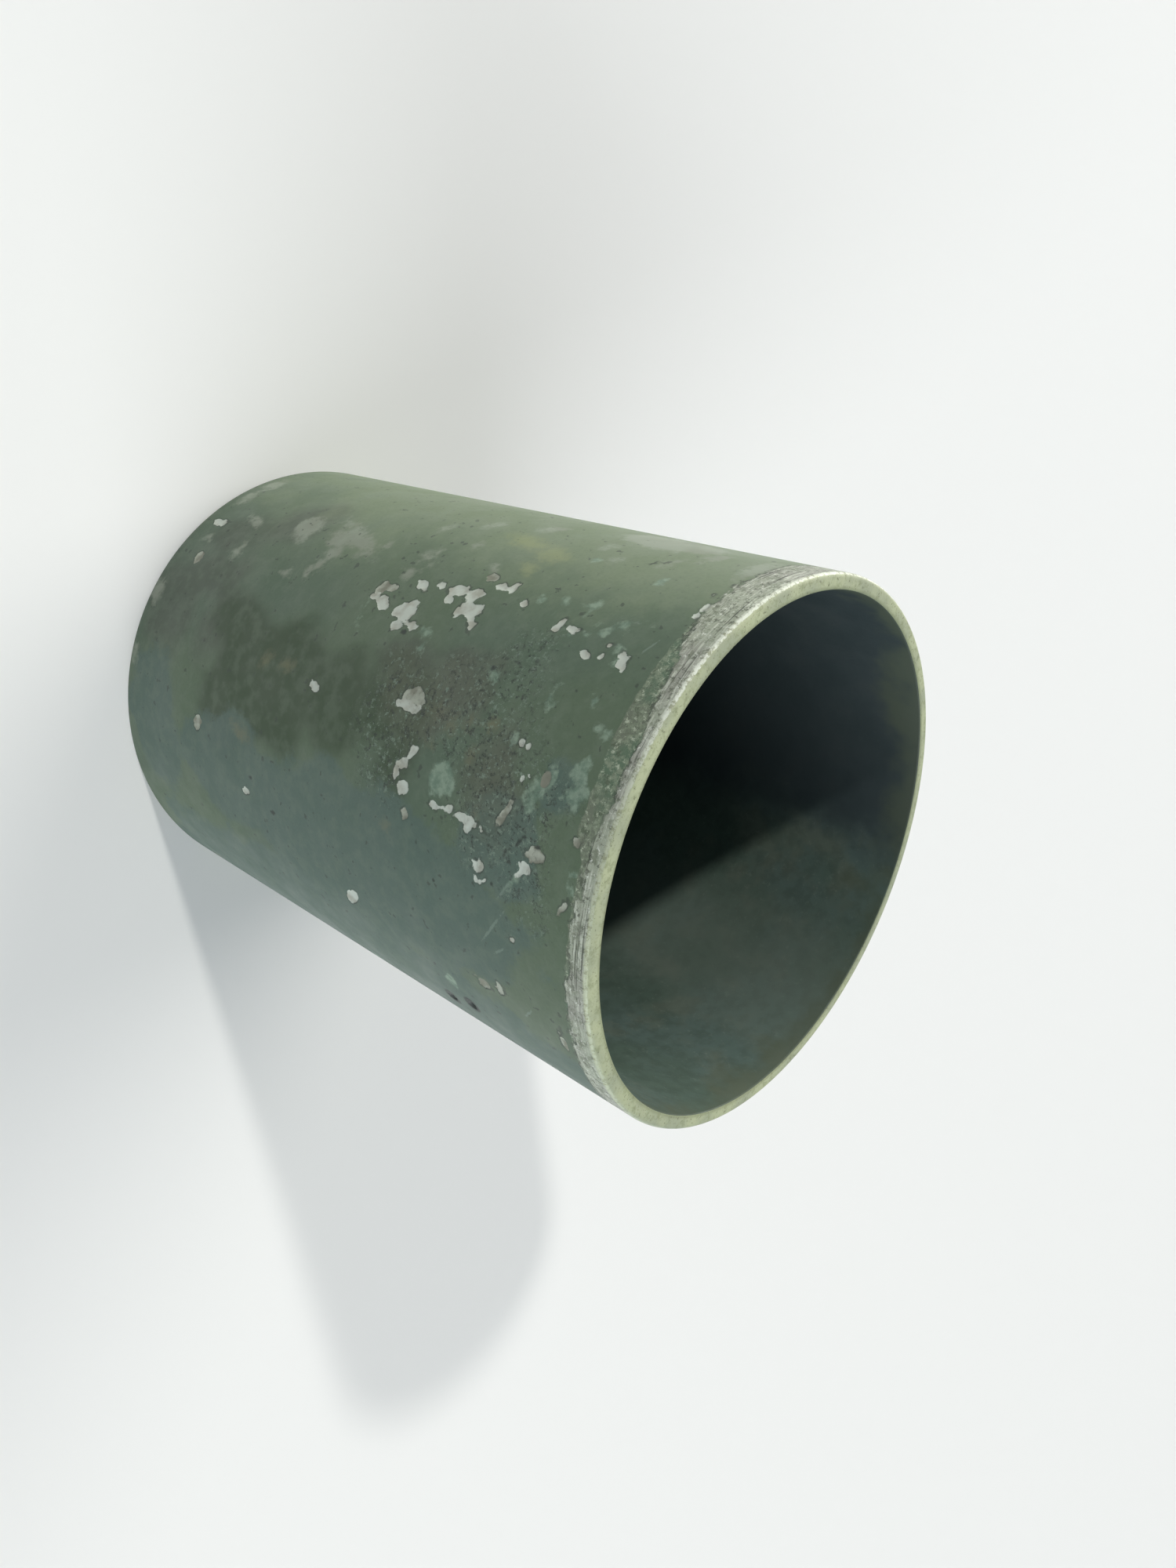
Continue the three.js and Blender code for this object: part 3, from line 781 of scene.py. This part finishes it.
groove_middle = (PLUG_BOTTOM + PLUG_TOP) / 2
thread_end = PLUG_BOTTOM + TAPPED_DEPTH
plug_outline = [
    *faced((THREAD_RADIUS, PLUG_BOTTOM), (PLUG_RADIUS - PLUG_EDGE, PLUG_BOTTOM), TOOL_MARK),
    (PLUG_RADIUS - PLUG_EDGE, PLUG_BOTTOM),
    (PLUG_RADIUS - PLUG_EDGE * ROUND_CORNER, PLUG_BOTTOM + PLUG_EDGE * ROUND_CORNER),
    (PLUG_RADIUS, PLUG_BOTTOM + PLUG_EDGE),
    (PLUG_RADIUS, groove_middle - GROOVE_HALF - PLUG_EDGE / 2),
    (PLUG_RADIUS - PLUG_EDGE / 2, groove_middle - GROOVE_HALF),
    (GROOVE_RADIUS, groove_middle - GROOVE_HALF),
    (GROOVE_RADIUS, groove_middle + GROOVE_HALF),
    (PLUG_RADIUS - PLUG_EDGE / 2, groove_middle + GROOVE_HALF),
    (PLUG_RADIUS, groove_middle + GROOVE_HALF + PLUG_EDGE / 2),
    (PLUG_RADIUS, PLUG_TOP - PLUG_EDGE),
    *faced((PLUG_RADIUS - PLUG_EDGE, PLUG_TOP - PLUG_EDGE * DISH_DEPTH / PLUG_RADIUS),
           (WICK_HOLE_RADIUS, PLUG_TOP - DISH_DEPTH), -TOOL_MARK),
    (WICK_HOLE_RADIUS, PLUG_TOP - DISH_DEPTH),
    (WICK_HOLE_RADIUS, thread_end + DRILL_CONE),
    (THREAD_RADIUS - THREAD_TOOTH, thread_end),
    *stretch_of((THREAD_RADIUS, thread_end), (THREAD_RADIUS, PLUG_BOTTOM), THREAD_PITCH / 8),
]
plug = spun("base_plug_turned", plug_outline, PLUG_COLUMNS)
cut_thread(plug, THREAD_RADIUS, THREAD_TOOTH, PLUG_BOTTOM + THREAD_START)
smooth(plug, 35)


def turned_aluminium():
    """Dull turned metal with oxide blooms and a film of old wax towards the middle of the dish."""
    material, tree, shader, place = finish("turned_aluminium")
    radius, rings = from_axis(tree, place)
    cloudy = grain(tree, place, 6, 5, harsh=0.6)
    fine = grain(tree, place, 0.5, 4, shift=9)
    lines = grain(tree, rings, 0.22, 3, shift=3)
    wide_lines = grain(tree, rings, 1.8, 2, shift=31)
    colour = laid(tree, paint(0.50, 0.51, 0.51), paint(0.66, 0.66, 0.65), lines, 0.35, 0.65)
    colour = laid(tree, colour, paint(0.40, 0.41, 0.41), wide_lines, 0.4, 0.65, 0.35)
    colour = laid(tree, colour, paint(0.34, 0.345, 0.33), cloudy, 0.5, 0.66, 0.6)
    film = fade(tree, total(tree, radius, (cloudy, -22.0)), 6.0, -6.0, 0, 0.75)
    colour = coat(tree, film, colour, paint(0.62, 0.50, 0.25))
    colour = laid(tree, colour, paint(0.18, 0.18, 0.17), fine, 0.62, 0.72, 0.6)
    tree.links.new(colour, shader.inputs["Base Color"])
    tree.links.new(total(tree, 0.95, (film, -0.9)), shader.inputs["Metallic"])
    tree.links.new(fade(tree, cloudy, 0.35, 0.65, 0.30, 0.52), shader.inputs["Roughness"])
    relief(tree, shader, total(tree, 0.0, (fine, 0.008), (lines, 0.012)), 1.0)
    return material


plug.data.materials.append(turned_aluminium())
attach(plug, "plug")
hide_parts("base_plug")

# ---------------------------------------------------------------------------------------------------
# The sealing ring is black nitrile rubber of round section, stretched into the plug's groove and
# squeezed against the bore. Its grip holds the plug at the height that it is pushed to.
seal_low, seal_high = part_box("plug_seal_ring")
SEAL_OUTER = seal_high.x
SEAL_HALF_HEIGHT = (seal_high.z - seal_low.z) / 2
SEAL_HALF_WIDTH = 0.00105
SEAL_SECTION_POINTS = 40
SEAL_COLUMNS = 192
SEAL_SQUARENESS = 0.8  # under 1, the squeezed section is flatter than an ellipse where it bears


def squeezed(angle):
    """A point of the ring's section."""
    def flattened(value):
        return math.copysign(abs(value) ** SEAL_SQUARENESS, value)
    return (SEAL_OUTER - SEAL_HALF_WIDTH + SEAL_HALF_WIDTH * flattened(math.cos(angle)),
            (seal_low.z + seal_high.z) / 2 + SEAL_HALF_HEIGHT * flattened(math.sin(angle)))


seal_outline = [squeezed(2 * math.pi * i / SEAL_SECTION_POINTS) for i in range(SEAL_SECTION_POINTS)]
seal = spun("plug_seal_rubber", seal_outline, SEAL_COLUMNS)
seal.data.shade_smooth()


def rubber(name, dark, light, spacing):
    """Moulded rubber: a matt skin with a pale bloom and a fine grain."""
    material, tree, shader, place = finish(name)
    cloudy = grain(tree, place, spacing, 4, harsh=0.6)
    fine = grain(tree, place, 0.18, 3, shift=17)
    colour = laid(tree, dark, light, cloudy, 0.42, 0.70)
    colour = laid(tree, colour, paint(0.16, 0.15, 0.13), fine, 0.62, 0.75, 0.4)
    tree.links.new(colour, shader.inputs["Base Color"])
    tree.links.new(fade(tree, cloudy, 0.35, 0.7, 0.62, 0.85), shader.inputs["Roughness"])
    shader.inputs["Specular IOR Level"].default_value = 0.35
    relief(tree, shader, fine, 0.02)
    return material


black = paint(0.012, 0.012, 0.013)
faded_black = paint(0.040, 0.040, 0.039)
seal.data.materials.append(rubber("black_rubber", black, faded_black, 2.5))
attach(seal, "plug")
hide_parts("plug_seal_ring")

# ---------------------------------------------------------------------------------------------------
# The washer is punched from red rubber sheet. The screw's head presses it against the plug so that no
# wax runs out along the wick, so its rim bulges a little.
washer_low, washer_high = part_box("wick_washer")
WASHER_RADIUS = washer_high.x
WASHER_EDGE = 0.00012
WASHER_BULGE = 0.00012
SHOULDER = 0.3  # share of the way from the washer's face to its middle where the bulge is nearly full
WASHER_COLUMNS = 96
washer_middle = (washer_low.z + washer_high.z) / 2
washer_outline = [
    (THREAD_RADIUS + WASHER_EDGE, washer_low.z),
    (WASHER_RADIUS - WASHER_BULGE - WASHER_EDGE, washer_low.z),
    (WASHER_RADIUS - WASHER_BULGE, washer_low.z + WASHER_EDGE),
    (WASHER_RADIUS - WASHER_BULGE * SHOULDER, washer_low.z * (1 - SHOULDER) + washer_middle * SHOULDER),
    (WASHER_RADIUS, washer_middle),
    (WASHER_RADIUS - WASHER_BULGE * SHOULDER, washer_high.z * (1 - SHOULDER) + washer_middle * SHOULDER),
    (WASHER_RADIUS - WASHER_BULGE, washer_high.z - WASHER_EDGE),
    (WASHER_RADIUS - WASHER_BULGE - WASHER_EDGE, washer_high.z),
    (THREAD_RADIUS + WASHER_EDGE, washer_high.z),
    (THREAD_RADIUS + WASHER_EDGE * ROUND_CORNER, washer_high.z - WASHER_EDGE * ROUND_CORNER),
    (THREAD_RADIUS, washer_high.z - WASHER_EDGE * 2),
    (THREAD_RADIUS, washer_low.z + WASHER_EDGE * 2),
    (THREAD_RADIUS + WASHER_EDGE * ROUND_CORNER, washer_low.z + WASHER_EDGE * ROUND_CORNER),
]
washer = spun("wick_washer_rubber", washer_outline, WASHER_COLUMNS)
smooth(washer, 50)
red = paint(0.155, 0.032, 0.018)
faded_red = paint(0.230, 0.075, 0.045)
washer.data.materials.append(rubber("red_rubber", red, faded_red, 1.2))
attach(washer, "washer")
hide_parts("wick_washer")

# ---------------------------------------------------------------------------------------------------
# The wick screw is a slotted M5 cheese-head screw in brass, short enough to stay below the wick hole.
# It pinches the wick's knot under the washer, and it is turned from below with a coin or screwdriver.
screw_low, screw_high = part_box("wick_screw")
HEAD_RADIUS = screw_high.x
HEAD_BOTTOM = screw_low.z
HEAD_HEIGHT = 0.0033
SHANK_TIP = screw_high.z
SHANK_CREST = 0.00243  # the screw's crests clear the roots of the plug's thread
SHANK_TOOTH = 0.0004
SCREW_EDGE = 0.00035
SLOT_WIDTH = 0.0012
SLOT_DEPTH = 0.0015
SCREW_COLUMNS = 96
bearing_face = HEAD_BOTTOM + HEAD_HEIGHT
flat_radius = HEAD_RADIUS - SCREW_EDGE
faced_at = HEAD_BOTTOM + TOOL_MARK


def head_edge(turn):
    """A point of the head's rounded edge, from its flat at 0 degrees to its side at 90."""
    step = math.radians(turn)
    return flat_radius + SCREW_EDGE * math.sin(step), HEAD_BOTTOM + SCREW_EDGE * (1 - math.cos(step))


screw_outline = [
    *faced((0, faced_at), (flat_radius, faced_at), -TOOL_MARK),
    *[head_edge(turn) for turn in range(0, 91, 15)],
    (HEAD_RADIUS, bearing_face - SCREW_EDGE / 3),
    (HEAD_RADIUS - SCREW_EDGE / 3, bearing_face),
    (SHANK_CREST, bearing_face),
    *stretch_of((SHANK_CREST, bearing_face + THREAD_PITCH / 8), (SHANK_CREST, SHANK_TIP - SHANK_TOOTH),
                THREAD_PITCH / 8),
    (SHANK_CREST - SHANK_TOOTH, SHANK_TIP),
    (0, SHANK_TIP),
]
screw = spun("wick_screw_brass", screw_outline, SCREW_COLUMNS)
cut_thread(screw, SHANK_CREST, SHANK_TOOTH, bearing_face + THREAD_PITCH / 16)

# A block that overhangs the head cuts its slot.
cutter_mesh = bpy.data.meshes.new("slot_cutter")
work = bmesh.new()
block = Matrix.Diagonal((4 * HEAD_RADIUS, SLOT_WIDTH, 2 * SLOT_DEPTH, 1))
bmesh.ops.create_cube(work, size=1, matrix=Matrix.Translation((0, 0, HEAD_BOTTOM)) @ block)
work.to_mesh(cutter_mesh)
work.free()
cutter = bpy.data.objects.new("slot_cutter", cutter_mesh)
scene.collection.objects.link(cutter)
cut_slot = screw.modifiers.new("slot", "BOOLEAN")
cut_slot.operation = "DIFFERENCE"
cut_slot.solver = "EXACT"
cut_slot.object = cutter
slotted = bpy.data.meshes.new_from_object(screw.evaluated_get(bpy.context.evaluated_depsgraph_get()))
screw.modifiers.remove(cut_slot)
screw.data = slotted
bpy.data.objects.remove(cutter)
smooth(screw, 35)


def old_brass():
    """Turned brass, browned by handling, with darker tarnish in patches."""
    material, tree, shader, place = finish("old_brass")
    _, rings = from_axis(tree, place)
    cloudy = grain(tree, place, 1.8, 5, harsh=0.65)
    fine = grain(tree, place, 0.2, 3, shift=7)
    lines = grain(tree, rings, 0.15, 2, shift=21)
    colour = laid(tree, paint(0.56, 0.38, 0.13), paint(0.70, 0.50, 0.20), lines, 0.3, 0.7)
    colour = laid(tree, colour, paint(0.24, 0.15, 0.055), cloudy, 0.46, 0.62, 0.8)
    colour = laid(tree, colour, paint(0.08, 0.06, 0.03), fine, 0.62, 0.72, 0.6)
    tree.links.new(colour, shader.inputs["Base Color"])
    shader.inputs["Metallic"].default_value = 1.0
    tree.links.new(fade(tree, cloudy, 0.35, 0.65, 0.26, 0.5), shader.inputs["Roughness"])
    relief(tree, shader, total(tree, 0.0, (fine, 0.006), (lines, 0.010)), 1.0)
    return material


screw.data.materials.clear()
screw.data.materials.append(old_brass())
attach(screw, "screw")
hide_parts("wick_screw")

# ---------------------------------------------------------------------------------------------------
# The floor is a plain pale disc. A small key light shines from the left, two wide panels fill in the
# sides, and a dim, bluish sky lights the rest.
FLOOR_RADIUS = 12
FLOOR_COLOUR = paint(0.86, 0.86, 0.85)
SKY_COLOUR = paint(0.84, 0.94, 1.05)
SKY_STRENGTH = 0.22

floor_mesh = bpy.data.meshes.new("floor")
work = bmesh.new()
bmesh.ops.create_circle(work, cap_ends=True, radius=FLOOR_RADIUS, segments=64)
work.to_mesh(floor_mesh)
work.free()
floor = bpy.data.objects.new("floor", floor_mesh)
scene.collection.objects.link(floor)
floor_finish = bpy.data.materials.new("floor")
floor_finish.use_nodes = True
floor_shader = floor_finish.node_tree.nodes["Principled BSDF"]
floor_shader.inputs["Base Color"].default_value = FLOOR_COLOUR
floor_shader.inputs["Roughness"].default_value = 0.9
floor_mesh.materials.append(floor_finish)
floor.visible_diffuse = False  # so that it doesn't flood the mold with light from below

world = bpy.data.worlds.new("studio")
world.use_nodes = True
sky = world.node_tree.nodes["Background"]
sky.inputs["Color"].default_value = SKY_COLOUR
sky.inputs["Strength"].default_value = SKY_STRENGTH
scene.world = world

# Each light shines from a bearing and an elevation, and its spread is the angle that it fills.
LIGHTS = {
    "key": (-50.6, 29.6, 1.5, 3.5, (1.0, 0.98, 0.93)),
    "left_panel": (-116, 12, 3.8, 60, (1.0, 0.98, 0.91)),
    "right_panel": (86, 15, 3.4, 70, (0.95, 0.99, 1.0)),
}
for name, (bearing, elevation, strength, spread, colour) in LIGHTS.items():
    lamp_data = bpy.data.lights.new(name, "SUN")
    lamp_data.energy = strength
    lamp_data.angle = math.radians(spread)
    lamp_data.color = colour
    lamp = bpy.data.objects.new(name, lamp_data)
    scene.collection.objects.link(lamp)
    lamp.rotation_euler = (math.radians(90 - elevation), 0, math.radians(bearing))
